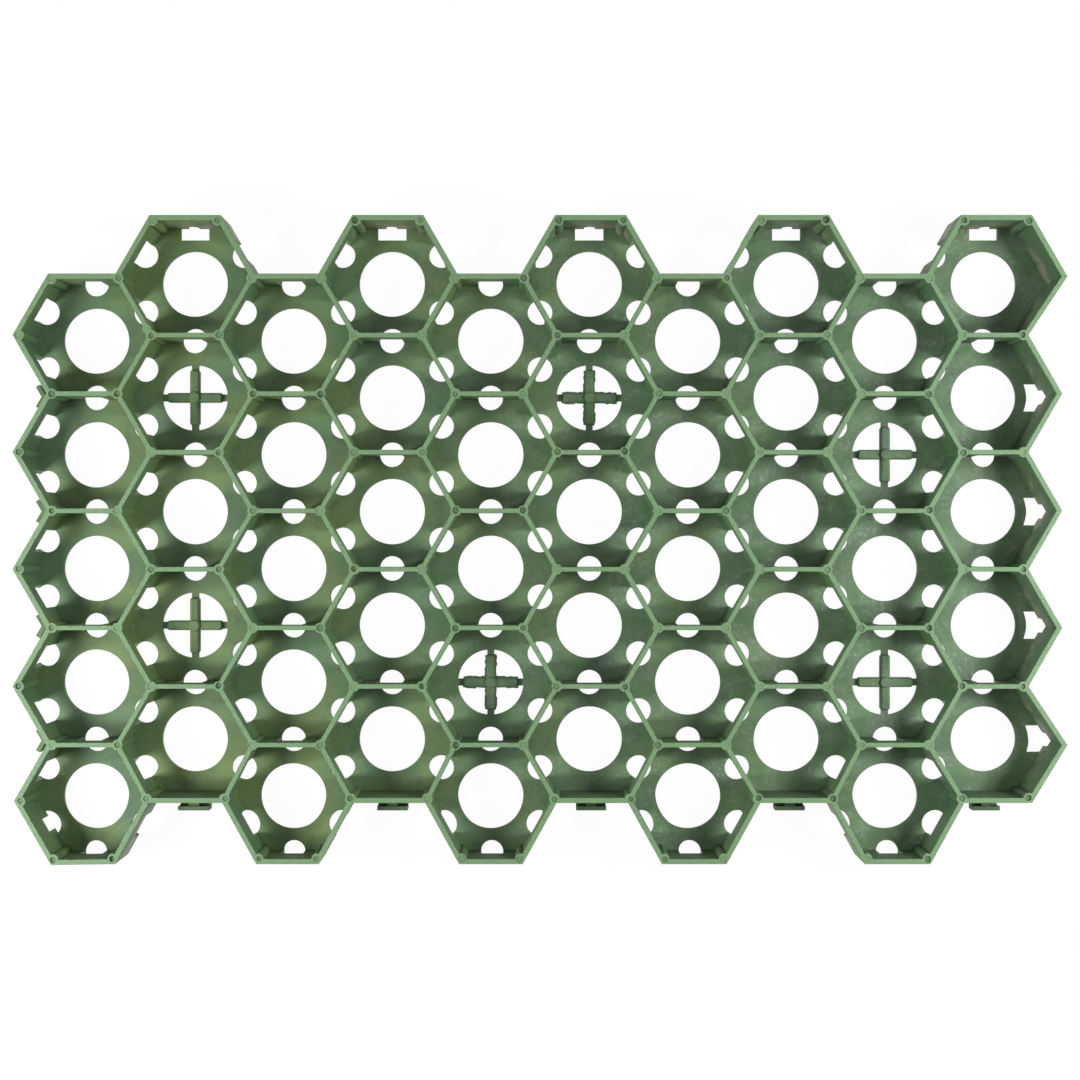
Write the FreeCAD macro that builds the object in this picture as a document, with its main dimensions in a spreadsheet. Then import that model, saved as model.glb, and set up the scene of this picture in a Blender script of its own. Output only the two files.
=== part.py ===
import FreeCAD, Part
import os
import Sketcher

# A lawn paving panel moulded in one piece: a honeycomb of open cells standing on a perforated floor.
# Flat-topped hexagons stand in columns, and every second column sits half a cell higher.
# The frame has +X along the ten columns, +Y along the five rows and the underside on Z = 0.

NODE = "paver_grid"

# Driving sizes, in millimetres.
SIZES = [
    ("cell_pitch", 80.0),
    ("panel_height", 32.0),
    ("floor_thickness", 3.0),
    ("inner_wall", 3.2),
    ("outer_wall", 3.6),
    ("post_diameter", 7.2),
    ("centre_hole", 46.0),
    ("edge_hole", 17.5),
    ("notch_width", 17.5),
    ("notch_height", 18.0),
    ("hook_width", 18.8),
    ("hook_reach", 9.4),
    ("hook_lip", 3.0),
    ("hook_height", 10.0),
    ("hook_bevel", 1.0),
    ("hook_leg", 8.0),
    ("gusset_width", 6.5),
    ("gusset_height", 8.0),
    ("hook_clearance", 0.6),
    ("slot_play", 2.0),
    ("slot_ledge", 8.7),
    ("runner_width", 6.8),
    ("runner_height", 5.0),
    ("gate_width", 4.9),
    ("gate_height", 2.2),
    ("gate_length", 3.5),
    ("runner_bevel", 1.8),
    ("boss_diameter", 8.6),
    ("boss_height", 6.5),
]

# The panel repeats a pair of neighbouring columns, and each column repeats one cell.
COLUMN_PAIRS = 5
CELL_ROWS = 5
LAST_COLUMN = 2 * COLUMN_PAIRS - 1
TOP_ROW = CELL_ROWS - 1

# Round forms that repeat have few sides, with their corners on the true circle.
CENTRE_HOLE_SIDES = 16
EDGE_HOLE_SIDES = 8
BOSS_SIDES = 8

# Cells, as column and row from the lower left, where the moulding runners were left in.
RUNNER_CELLS = [(1, 1), (1, 3), (4, 1), (5, 3), (8, 1), (8, 3)]

# Directions from a cell's centre to the middles of its walls, in degrees.
UPPER_RIGHT, UP, UPPER_LEFT, LOWER_LEFT, DOWN, LOWER_RIGHT = 30, 90, 150, 210, 270, 330

# Turns, in degrees, between the walls that meet at a post and between a wall's line and its face.
WALL_TURN = 120
QUARTER_TURN = 90
FULL_TURN = 360

# Expressions shared by many features.
PITCH = "sizes.cell_pitch"
SIDE = "(sizes.cell_pitch / sqrt(3))"
COLUMN_STEP = "(sizes.cell_pitch * sqrt(3) / 2)"
WALL_HEIGHT = "(sizes.panel_height - sizes.floor_thickness)"
OUTER_OFFSET = "(sizes.outer_wall - sizes.inner_wall / 2)"
FIRST_X = f"(-{LAST_COLUMN} / 2 * {COLUMN_STEP})"
FIRST_Y = f"(-({TOP_ROW} / 2 + 1 / 4) * {PITCH})"

doc = FreeCAD.newDocument("grass_paver")
sheet = doc.addObject("Spreadsheet::Sheet", "sizes")
for row, (alias, size) in enumerate(SIZES, start=1):
    sheet.set(f"A{row}", alias)
    sheet.set(f"B{row}", str(size))
    sheet.setAlias(f"B{row}", alias)
doc.recompute()


def new_body(name):
    """An empty body, which may hold several separate solids."""
    body = doc.addObject("PartDesign::Body", name)
    body.AllowCompound = True
    return body


def number(expression):
    """The present value of an expression on the sheet."""
    return float(sheet.evalExpression(str(expression)))


def datum(body, role):
    """A plane or axis of a body's origin."""
    return next(feature for feature in body.Origin.OriginFeatures if feature.Role == role)


def cell_centre(column, row):
    """Where a cell's centre lies; odd columns sit half a cell higher."""
    half = " + sizes.cell_pitch / 2" if column % 2 else ""
    return f"({FIRST_X} + {column} * {COLUMN_STEP})", f"({FIRST_Y} + {row} * {PITCH}{half})"


def wall_middle(column, row, direction):
    """Where the middle of one wall of a cell lies."""
    x, y = cell_centre(column, row)
    return (f"({x} + {PITCH} / 2 * cos({direction} deg))",
            f"({y} + {PITCH} / 2 * sin({direction} deg))")


def attach(item, body, plane, offset, turn):
    """Lay an item on an origin plane: moved within it, raised from it and turned about its normal."""
    item.AttachmentSupport = [(datum(body, plane), "")]
    item.MapMode = "FlatFace"
    turned = FreeCAD.Rotation(FreeCAD.Vector(0, 0, 1), turn)
    item.AttachmentOffset = FreeCAD.Placement(FreeCAD.Vector(), turned)
    for axis, expression in zip("xyz", offset):
        item.setExpression(f"AttachmentOffset.Base.{axis}", expression)


def new_sketch(body, name, plane, offset=("0", "0", "0"), turn=0):
    """An empty sketch on an origin plane, at an offset from the origin."""
    sketch = body.newObject("Sketcher::SketchObject", name)
    attach(sketch, body, plane, offset, turn)
    return sketch


def pin_point(sketch, geometry, point, x, y):
    """Dimension one point of a sketch from the sketch's origin."""
    for kind, expression in (("DistanceX", x), ("DistanceY", y)):
        constraint = Sketcher.Constraint(kind, -1, 1, geometry, point, number(expression))
        index = sketch.addConstraint(constraint)
        sketch.setExpression(f"Constraints[{index}]", expression)


def add_outline(sketch, corners, arcs=None):
    """A closed outline; arcs maps a corner's number to the centre of the arc that leaves it."""
    arcs = arcs or {}
    spots = [FreeCAD.Vector(number(x), number(y), 0) for x, y in corners]
    first = sketch.GeometryCount
    count = len(corners)
    start_point = {}
    end_point = {}
    for index, spot in enumerate(spots):
        target = spots[(index + 1) % count]
        start_point[index], end_point[index] = 1, 2
        if index in arcs:
            centre_x, centre_y, clockwise = arcs[index]
            centre = FreeCAD.Vector(number(centre_x), number(centre_y), 0)
            begin, finish = (target, spot) if clockwise else (spot, target)
            circle = Part.Circle(centre, FreeCAD.Vector(0, 0, 1), (spot - centre).Length)
            curve = Part.ArcOfCircle(circle, circle.parameter(begin), circle.parameter(finish))
            if clockwise:
                start_point[index], end_point[index] = 2, 1
        else:
            curve = Part.LineSegment(spot, target)
        sketch.addGeometry(curve)
    for index, (x, y) in enumerate(corners):
        following = (index + 1) % count
        sketch.addConstraint(Sketcher.Constraint(
            "Coincident", first + index, end_point[index], first + following, start_point[following]))
        pin_point(sketch, first + index, start_point[index], x, y)
    for index, (centre_x, centre_y, _) in arcs.items():
        chord = spots[(index + 1) % count] - spots[index]
        level = abs(chord.x) > abs(chord.y)
        kind, expression = ("DistanceY", centre_y) if level else ("DistanceX", centre_x)
        constraint = Sketcher.Constraint(kind, -1, 1, first + index, 3, number(expression))
        sketch.setExpression(f"Constraints[{sketch.addConstraint(constraint)}]", expression)


def new_prism(name, sides, diameter, height):
    """An upright prism about the origin, with its corners on a circle."""
    prism = doc.addObject("Part::Prism", name)
    prism.Polygon = sides
    prism.setExpression("Circumradius", f"{diameter} / 2")
    prism.setExpression("Height", height)
    doc.recompute()
    return prism


def placed(item, x, y, turn=0):
    """A copy of an item's solid, turned and moved to a place on the panel."""
    solid = plain_solids(item)[0]
    turned = FreeCAD.Rotation(FreeCAD.Vector(0, 0, 1), turn)
    solid.Placement = FreeCAD.Placement(FreeCAD.Vector(number(x), number(y), 0), turned)
    return solid


def rectangle(x_low, x_high, y_low, y_high):
    return [(x_low, y_low), (x_high, y_low), (x_high, y_high), (x_low, y_high)]


def grow(body, kind, name, sketch, length, upward=True, both_sides=False):
    """A pad or a pocket of a sketch; upward is along the sketch's normal."""
    feature = body.newObject(f"PartDesign::{kind}", name)
    feature.Profile = sketch
    feature.Reversed = upward if kind == "Pocket" else not upward
    if both_sides:
        feature.SideType = "Symmetric"
    feature.setExpression("Length", length)
    doc.recompute()
    return feature


def repeat(body, name, features, across=1, along=1):
    """Repeat features over column pairs in X and over rows in Y."""
    pattern = body.newObject("PartDesign::LinearPattern", name)
    pattern.Originals = features
    steps = [("", "X_Axis", f"2 * {COLUMN_STEP}", across), ("2", "Y_Axis", PITCH, along)]
    if across == 1:
        steps = [("", "Y_Axis", PITCH, along)]
    for suffix, axis, spacing, count in steps:
        setattr(pattern, f"Direction{suffix}", (datum(body, axis), [""]))
        setattr(pattern, f"Mode{suffix}", "Spacing")
        setattr(pattern, f"Spacings{suffix}", [-1.0])
        setattr(pattern, f"Occurrences{suffix}", count)
        pattern.setExpression(f"Offset{suffix}", spacing)
    body.Tip = pattern
    doc.recompute()
    return pattern


def hexagon(across_flats):
    """Corners of a flat-topped hexagon, counter-clockwise from the right-hand one."""
    reach = f"(({across_flats}) / sqrt(3))"
    return [(f"{reach} * cos({turn} deg)", f"{reach} * sin({turn} deg)") for turn in range(0, 360, 60)]


def cell_outline():
    """A cell's inside: six wall faces, with the flat face of a post across every corner."""
    inset = "(sizes.inner_wall / 2)"
    run = "sqrt(pow(sizes.post_diameter / 2; 2) - pow(sizes.inner_wall / 2; 2))"
    corners = []
    for turn in range(0, 360, 60):
        for side in (-1, 1):
            along = turn + side * WALL_TURN
            inward = along + side * QUARTER_TURN
            corners.append((
                f"{SIDE} * cos({turn} deg) + {run} * cos({along} deg) + {inset} * cos({inward} deg)",
                f"{SIDE} * sin({turn} deg) + {run} * sin({along} deg) + {inset} * sin({inward} deg)"))
    return corners


def add_blocks(body, base, height):
    """Upright hexagonal blocks, one over each cell, that together have the panel's outline."""
    blocks = []
    for column, name in ((0, "low"), (1, "high")):
        x, y = cell_centre(column, 0)
        sketch = new_sketch(body, f"{name}_block_outline", "XY_Plane", (x, y, base))
        add_outline(sketch, hexagon(f"{PITCH} + 2 * {OUTER_OFFSET}"))
        blocks.append(grow(body, "Pad", f"{name}_block", sketch, height))
    repeat(body, "all_blocks", blocks, COLUMN_PAIRS, CELL_ROWS)


def build_floor():
    """The plate under all cells, as thick as the floor."""
    body = new_body("floor_plate")
    add_blocks(body, "0", "sizes.floor_thickness")
    return body


def build_walls():
    """The walls and posts that stand on the floor: a block with every cell cut through it."""
    body = new_body("cell_walls")
    add_blocks(body, "sizes.floor_thickness", WALL_HEIGHT)
    cells = []
    for column, name in ((0, "low"), (1, "high")):
        x, y = cell_centre(column, 0)
        sketch = new_sketch(body, f"{name}_cell_outline", "XY_Plane", (x, y, "sizes.panel_height"))
        add_outline(sketch, cell_outline())
        cells.append(grow(body, "Pocket", f"{name}_cell", sketch, WALL_HEIGHT, upward=False))
    repeat(body, "all_cells", cells, COLUMN_PAIRS, CELL_ROWS)
    add_sharp_corners(body)
    return body


def add_sharp_corners(body):
    """Clear the posts from the right-hand corners of the last column."""
    x, y = cell_centre(LAST_COLUMN, 0)
    sketch = new_sketch(body, "sharp_corner_outline", "XY_Plane", (x, y, "sizes.panel_height"))
    tip = f"({SIDE} - sizes.inner_wall / sqrt(3))"
    back = f"{tip} - sizes.post_diameter / 2"
    half = "sizes.post_diameter * sqrt(3) / 2"
    add_outline(sketch, [(tip, "0"), (back, half), (back, f"-{half}")])
    corner = grow(body, "Pocket", "sharp_corner", sketch, WALL_HEIGHT, upward=False)
    repeat(body, "sharp_corners", [corner], along=CELL_ROWS)


def build_wall_notches():
    """Flat-topped gaps low in the walls, cut as straight channels from cell to cell in three directions."""
    half = "sizes.notch_width / 2"
    beyond = f"({SIDE} + sizes.outer_wall)"
    body = new_body("column_notches")
    channels = []
    for column, name, low, high in (
            (0, "low", f"-{beyond}", f"{TOP_ROW} * {PITCH} + {beyond}"),
            (1, "high", "0", f"{TOP_ROW} * {PITCH}")):
        x, y = cell_centre(column, 0)
        sketch = new_sketch(body, f"{name}_channel_outline", "XY_Plane", (x, y, "sizes.floor_thickness"))
        add_outline(sketch, rectangle(f"-{half}", half, low, high))
        channels.append(grow(body, "Pad", f"{name}_channel", sketch, "sizes.notch_height"))
    repeat(body, "column_channels", channels, across=COLUMN_PAIRS)
    bodies = [body]
    for turn, name, row, count in (
            (30, "rising", 1 - COLUMN_PAIRS, COLUMN_PAIRS + CELL_ROWS - 1),
            (-30, "falling", 0, COLUMN_PAIRS + CELL_ROWS)):
        x, y = cell_centre(0, row)
        body = new_body(f"{name}_notches")
        place = (x, y, "sizes.floor_thickness")
        sketch = new_sketch(body, f"{name}_channel_outline", "XY_Plane", place, turn)
        add_outline(sketch, rectangle(f"-{beyond}", f"{LAST_COLUMN} * {PITCH}", f"-{half}", half))
        channel = grow(body, "Pad", f"{name}_channel", sketch, "sizes.notch_height")
        repeat(body, f"{name}_channels", [channel], along=count)
        bodies.append(body)
    return bodies


def notched_walls():
    """Every wall that has a notch, as its cell's column and row and its direction from that cell."""
    for column in range(LAST_COLUMN + 1):
        high = column % 2 == 1
        for row in range(CELL_ROWS):
            yield column, row, UPPER_LEFT
            yield column, row, LOWER_LEFT
            if row > 0 or not high:
                yield column, row, DOWN
        if high and column < LAST_COLUMN:
            yield column, TOP_ROW, UPPER_RIGHT
        if not high:
            yield column, 0, LOWER_RIGHT
            yield column, TOP_ROW, UP


def floor_holes():
    """A large hole in the middle of every cell and a small one under every notch."""
    floor = "sizes.floor_thickness"
    centre_hole = new_prism("centre_hole", CENTRE_HOLE_SIDES, "sizes.centre_hole", floor)
    edge_hole = new_prism("edge_hole", EDGE_HOLE_SIDES, "sizes.edge_hole", floor)
    half_side = FULL_TURN / EDGE_HOLE_SIDES / 2
    holes = []
    for column in range(LAST_COLUMN + 1):
        for row in range(CELL_ROWS):
            holes.append(placed(centre_hole, *cell_centre(column, row)))
    for column, row, direction in notched_walls():
        holes.append(placed(edge_hole, *wall_middle(column, row, direction), direction + half_side))
    return holes


def add_edge_hooks(body):
    """Hooks under the high columns: a tongue level with the floor, an upright lip and a gusset between."""
    x, _ = cell_centre(1, 0)
    root = "sizes.outer_wall / 2"
    tip = "-sizes.hook_reach"
    inside = f"{tip} + sizes.hook_lip"
    wall_face = f"{FIRST_Y} - {OUTER_OFFSET}"
    top = "sizes.hook_height"
    sketch = new_sketch(body, "edge_hook_outline", "YZ_Plane", (wall_face, "0", x))
    add_outline(sketch, [
        (root, "0"),
        (tip, "0"),
        (tip, f"{top} - sizes.hook_bevel"),
        (f"{tip} + sizes.hook_bevel", top),
        (inside, top),
        (inside, "sizes.floor_thickness"),
        (root, "sizes.floor_thickness")])
    hook = grow(body, "Pad", "edge_hook", sketch, "sizes.hook_width", both_sides=True)
    sketch = new_sketch(body, "edge_gusset_outline", "YZ_Plane", (wall_face, "0", x))
    add_outline(sketch, rectangle(f"{tip} + sizes.hook_lip / 2", root, "0", "sizes.gusset_height"))
    gusset = grow(body, "Pad", "edge_gusset", sketch, "sizes.gusset_width", both_sides=True)
    repeat(body, "edge_hooks", [hook, gusset], across=COLUMN_PAIRS)


def chevron(inner, outer, leg):
    """A band in the angle between two outer walls, parallel to both, with square-cut ends."""
    corners = []
    for offset, reach in ((outer, leg), (inner, f"({leg} + (({outer}) - ({inner})) / sqrt(3))")):
        apex = f"(-({offset}) * 2 / sqrt(3))"
        along = f"{apex} - {reach} / 2"
        rise = f"{reach} * sqrt(3) / 2"
        side = [(along, rise), (apex, "0"), (along, f"-{rise}")]
        corners += side if offset == outer else side[::-1]
    return corners


def add_corner_hooks(body):
    """Hooks in the left-hand angles between cells, with their lips parallel to both walls."""
    x, y = cell_centre(0, 0)
    place = (f"{x} - {SIDE} / 2", f"{y} + {PITCH} / 2", "0")
    root = f"{OUTER_OFFSET} - sizes.outer_wall / 2"
    outer = f"{OUTER_OFFSET} + sizes.hook_reach"
    inner = f"{outer} - sizes.hook_lip"
    sketch = new_sketch(body, "corner_tongue_outline", "XY_Plane", place)
    add_outline(sketch, chevron(root, outer, "sizes.hook_leg"))
    tongue = grow(body, "Pad", "corner_tongue", sketch, "sizes.floor_thickness")
    sketch = new_sketch(body, "corner_lip_outline", "XY_Plane", place)
    add_outline(sketch, chevron(inner, outer, "sizes.hook_leg"))
    lip = grow(body, "Pad", "corner_lip", sketch, "sizes.hook_height")
    sketch = new_sketch(body, "corner_gusset_outline", "XY_Plane", place)
    add_outline(sketch, chevron(root, f"{outer} - sizes.hook_lip / 2", "sizes.gusset_width / 2"))
    gusset = grow(body, "Pad", "corner_gusset", sketch, "sizes.gusset_height")
    repeat(body, "corner_hooks", [tongue, lip, gusset], along=CELL_ROWS - 1)


def add_edge_slots(body):
    """Slots inside the top walls of the high columns, each taking the hook of the next panel."""
    x, y = cell_centre(1, TOP_ROW)
    wall_line = f"{y} + {PITCH} / 2"
    outside = f"{OUTER_OFFSET} + sizes.slot_play"
    inside = f"{OUTER_OFFSET} - sizes.hook_reach - sizes.slot_play"
    half = "(sizes.hook_width / 2 + sizes.hook_clearance)"
    sketch = new_sketch(body, "edge_slot_outline", "XY_Plane", (x, wall_line, "0"))
    add_outline(sketch, rectangle(f"-{half}", half, inside, outside))
    slot = grow(body, "Pad", "edge_slot", sketch, "sizes.floor_thickness + sizes.hook_clearance")
    half = "(sizes.gusset_width / 2 + sizes.hook_clearance)"
    spring = "sizes.gusset_height - sizes.hook_clearance * 2"
    place = (x, "0", f"-({wall_line} + {outside})")
    sketch = new_sketch(body, "edge_arch_outline", "XZ_Plane", place)
    corners = [(f"-{half}", "0"), (half, "0"), (half, spring), (f"-{half}", spring)]
    add_outline(sketch, corners, {2: ("0", spring, False)})
    arch = grow(body, "Pad", "edge_arch", sketch, f"{outside} + sizes.inner_wall + sizes.slot_play")
    repeat(body, "edge_slots", [slot, arch], across=COLUMN_PAIRS)


def add_corner_slots(body):
    """Openings in the right-hand corners of the last column, each taking a hook of the next panel."""
    place = (*cell_centre(LAST_COLUMN, 0), "0")
    half = "(sizes.hook_leg * sqrt(3) / 2 + sizes.hook_lip / 2 + 2 * sizes.hook_clearance)"
    ledge = "(sizes.centre_hole / 2 + sizes.slot_ledge)"
    outside = f"{SIDE} + sizes.outer_wall"
    near = f"sqrt(pow({ledge}; 2) - pow({half}; 2))"
    sketch = new_sketch(body, "corner_slot_outline", "XY_Plane", place)
    corners = rectangle(near, outside, f"-{half}", half)
    add_outline(sketch, corners, {3: ("0", "0", True)})
    slot = grow(body, "Pad", "corner_slot", sketch, "sizes.floor_thickness + sizes.hook_clearance")
    half = "(sizes.gusset_width * sqrt(3) / 4 + sizes.hook_lip / 2 + sizes.hook_clearance)"
    sketch = new_sketch(body, "corner_gap_outline", "XY_Plane", place)
    add_outline(sketch, rectangle(f"{SIDE} - 2 * sizes.outer_wall", outside, f"-{half}", half))
    gap = grow(body, "Pad", "corner_gap", sketch, "sizes.gusset_height + sizes.floor_thickness")
    repeat(body, "corner_slots", [slot, gap], along=CELL_ROWS - 1)


def cross(reach, half, bevel="0"):
    """Corners of an upright cross, counter-clockwise; bevel cuts the corners off its four ends."""
    ends = [(reach, f"-{half}"), (reach, half)]
    if bevel != "0":
        ends = [(f"{reach} - {bevel}", f"-{half}"), (reach, f"-{half} + {bevel}"),
                (reach, f"{half} - {bevel}"), (f"{reach} - {bevel}", half)]
    corners = []
    for turn in range(0, FULL_TURN, QUARTER_TURN):
        for along, aside in (*ends, (half, half)):
            corners.append((
                f"({along}) * cos({turn} deg) - ({aside}) * sin({turn} deg)",
                f"({along}) * sin({turn} deg) + ({aside}) * cos({turn} deg)"))
    return corners


def build_runner():
    """A moulding runner: a cross of bars, thin gates to the floor and a boss in the middle."""
    body = new_body("runner")
    radius = "(sizes.centre_hole / 2)"
    gates = new_sketch(body, "gate_outline", "XY_Plane")
    add_outline(gates, cross(f"{radius} + sizes.gate_width / 2", "(sizes.gate_width / 2)"))
    grow(body, "Pad", "gates", gates, "sizes.gate_height")
    bars = new_sketch(body, "bar_outline", "XY_Plane")
    reach = f"{radius} - sizes.gate_length"
    add_outline(bars, cross(reach, "(sizes.runner_width / 2)", "sizes.runner_bevel"))
    grow(body, "Pad", "bars", bars, "sizes.runner_height")
    boss = body.newObject("PartDesign::AdditivePrism", "boss")
    attach(boss, body, "XY_Plane", ("0", "0", "0"), 0)
    boss.Polygon = BOSS_SIDES
    boss.setExpression("Circumradius", "sizes.boss_diameter / 2")
    boss.setExpression("Height", "sizes.boss_height")
    doc.recompute()
    return body


def build_hooks():
    """The hooks on two sides of the panel."""
    body = new_body("hooks")
    add_edge_hooks(body)
    add_corner_hooks(body)
    return body


def build_slots():
    """The openings for the next panels' hooks on the other two sides."""
    body = new_body("slots")
    add_edge_slots(body)
    add_corner_slots(body)
    return body


def plain_solids(body):
    """A body's solids as bare geometry."""
    shape = Part.Shape()
    shape.importBrepFromString(body.Shape.exportBrepToString())
    return shape.Solids


def build_panel():
    """The whole moulding: notched walls on a perforated floor, with hooks, slots and six runners."""
    walls = plain_solids(build_walls())[0]
    for body in build_wall_notches():
        walls = walls.cut(plain_solids(body))
    floor = plain_solids(build_floor())[0].cut(floor_holes())
    runner = build_runner()
    runners = [placed(runner, *cell_centre(column, row)) for column, row in RUNNER_CELLS]
    solid = walls.fuse([floor, *runners, *plain_solids(build_hooks())])
    solid = solid.cut(plain_solids(build_slots())).removeSplitter()
    panel = doc.addObject("Part::Feature", NODE)
    panel.Shape = solid.Solids[0] if len(solid.Solids) == 1 else solid
    panel.Label = NODE
    return panel


def check_and_export(panel):
    """Stop on any failed feature, then write the panel's solid."""
    doc.recompute()
    for item in doc.Objects:
        if "Invalid" in item.State or "Error" in item.State:
            raise RuntimeError(f"{item.Name} failed: {item.State}")
    shape = panel.Shape
    if shape.isNull() or not shape.isValid() or len(shape.Solids) != 1:
        raise RuntimeError(f"{panel.Label} is not one valid solid")
    os.makedirs("parts", exist_ok=True)
    shape.exportStep(f"parts/{panel.Label}.step")


check_and_export(build_panel())
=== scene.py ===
"""Looks of a moulded lawn paving panel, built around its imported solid."""
import random
from math import cos, pi, radians, sin, sqrt

import bpy
from mathutils import Matrix, Vector
from mathutils.geometry import intersect_point_line


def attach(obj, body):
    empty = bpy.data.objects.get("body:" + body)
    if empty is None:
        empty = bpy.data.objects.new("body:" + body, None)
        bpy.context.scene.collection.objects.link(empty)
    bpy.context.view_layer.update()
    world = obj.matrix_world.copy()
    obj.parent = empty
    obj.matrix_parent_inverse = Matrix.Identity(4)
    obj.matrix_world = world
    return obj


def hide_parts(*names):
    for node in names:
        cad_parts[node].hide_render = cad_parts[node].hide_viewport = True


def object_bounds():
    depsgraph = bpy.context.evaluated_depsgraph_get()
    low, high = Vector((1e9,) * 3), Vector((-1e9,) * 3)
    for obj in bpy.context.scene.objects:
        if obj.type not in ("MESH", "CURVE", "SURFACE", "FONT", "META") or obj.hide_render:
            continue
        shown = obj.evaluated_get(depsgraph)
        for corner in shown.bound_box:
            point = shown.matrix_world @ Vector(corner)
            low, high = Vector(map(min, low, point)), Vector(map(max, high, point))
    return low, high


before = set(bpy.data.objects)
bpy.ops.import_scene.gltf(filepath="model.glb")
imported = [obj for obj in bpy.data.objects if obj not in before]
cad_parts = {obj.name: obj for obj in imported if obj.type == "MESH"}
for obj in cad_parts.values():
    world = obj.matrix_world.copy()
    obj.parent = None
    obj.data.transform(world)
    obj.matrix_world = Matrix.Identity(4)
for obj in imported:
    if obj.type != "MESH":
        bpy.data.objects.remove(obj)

bl_info = {
    "name": "Lawn Paving Panel",
    "version": (1, 0, 0),
    "blender": (4, 5, 0),
    "location": "View3D > Sidebar > Paver",
    "description": "Dresses a honeycomb paving panel: round posts and holes, runners, dusty plastic",
    "category": "Object",
}

NODE = "paver_grid"
BODY = "root"
CAD_BOX = [list(corner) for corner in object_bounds()]

# The honeycomb: columns from the left, rows from the bottom, odd columns half a cell higher.
COLUMNS = 10
ROWS = 5
SIXTH_TURN = pi / 3
RUNNER_CELLS = [(1, 1), (1, 3), (4, 1), (5, 3), (8, 1), (8, 3)]
RAGGED_RUNNERS = {(4, 1), (5, 3)}
SEED = 7

# Lengths below which two places are one, and below which a face has no area.
NEAR = 1e-5
TINY = NEAR / 10

# Faces that meet at less than this are shaded as one.
SMOOTH_ANGLE = radians(35)

# Size of the block that skims the rims, as a multiple of the panel's.
SKIMMER_SPREAD = 1.1

# How many sides the round forms have.
WIDE_SIDES = 64
HOLE_SIDES = 32
POST_SIDES = 24
MARK_SIDES = 20
BLOB_SIDES = 16

# A cell's sides, counter-clockwise.
UPPER_RIGHT, UP, UPPER_LEFT, LOWER_LEFT, DOWN, LOWER_RIGHT = range(6)

# How far a post on the outline stands back, for one cell or two beside it.
STAND_BACK = {1: 0.0020, 2: 0.0014}

# Where blobs of plastic have stuck beside a post.
BLOBS = [(-0.2685, 0.1440)]

# How the pin marks vary: the least share of the depth, how far shallow ones prevail, and the widths.
PIN_SHALLOWEST = 0.2
PIN_BIAS = 1.4
PIN_WIDTHS = (0.85, 1.1)

# A runner's undersides, at heights that differ so that no two faces coincide.
BAR_BASE = 0.0001
GATE_BASE = 0.0002

# How far a runner's bar is rounded at its ends and along its top, as shares of half its width.
BAR_END_ROUND = 0.55
BAR_TOP_ROUND = 0.5

# How the flash along a bar is torn: cuts along it and evenness.
FLASH_CUTS = 22
FLASH_EVENNESS = 0.8

# How much of the recessed walls' shift the lowest walls take.
LOWEST_WALL_SHARE = 1 / 4

# Where the finishes, the painted highlight and the painted floor reflection change, in metres: below the
# top, above the underside, and across the panel.
RIM_BAND = (0.0009, 0.0003)
FLOOR_BAND = (0.004, 0.008)
LOW_WALL_BAND = (0.010, 0.026)
RIGHTWARD_BAND = (-0.25, 0.24)
RIGHT_SLOT_BAND = (0.330, 0.348)
UPPER_SLOT_BAND = (0.206, 0.216)

# The same for the outermost walls, as squares of the distance from the panel's middle line.
OUTERMOST_BAND = (0.0328, 0.0340)

# The soft lamps: name, place, watts and width.
LAMPS = [
    ("left_softbox", (-0.85, -0.25, 0.60), 10.0, 0.35),
    ("right_softbox", (0.85, -0.02, 0.60), 9.5, 0.35),
    ("top_fill", (0.0, 0.3, 1.8), 6.0, 1.2),
]
WHITE = (1.0, 1.0, 1.0, 1.0)


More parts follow.
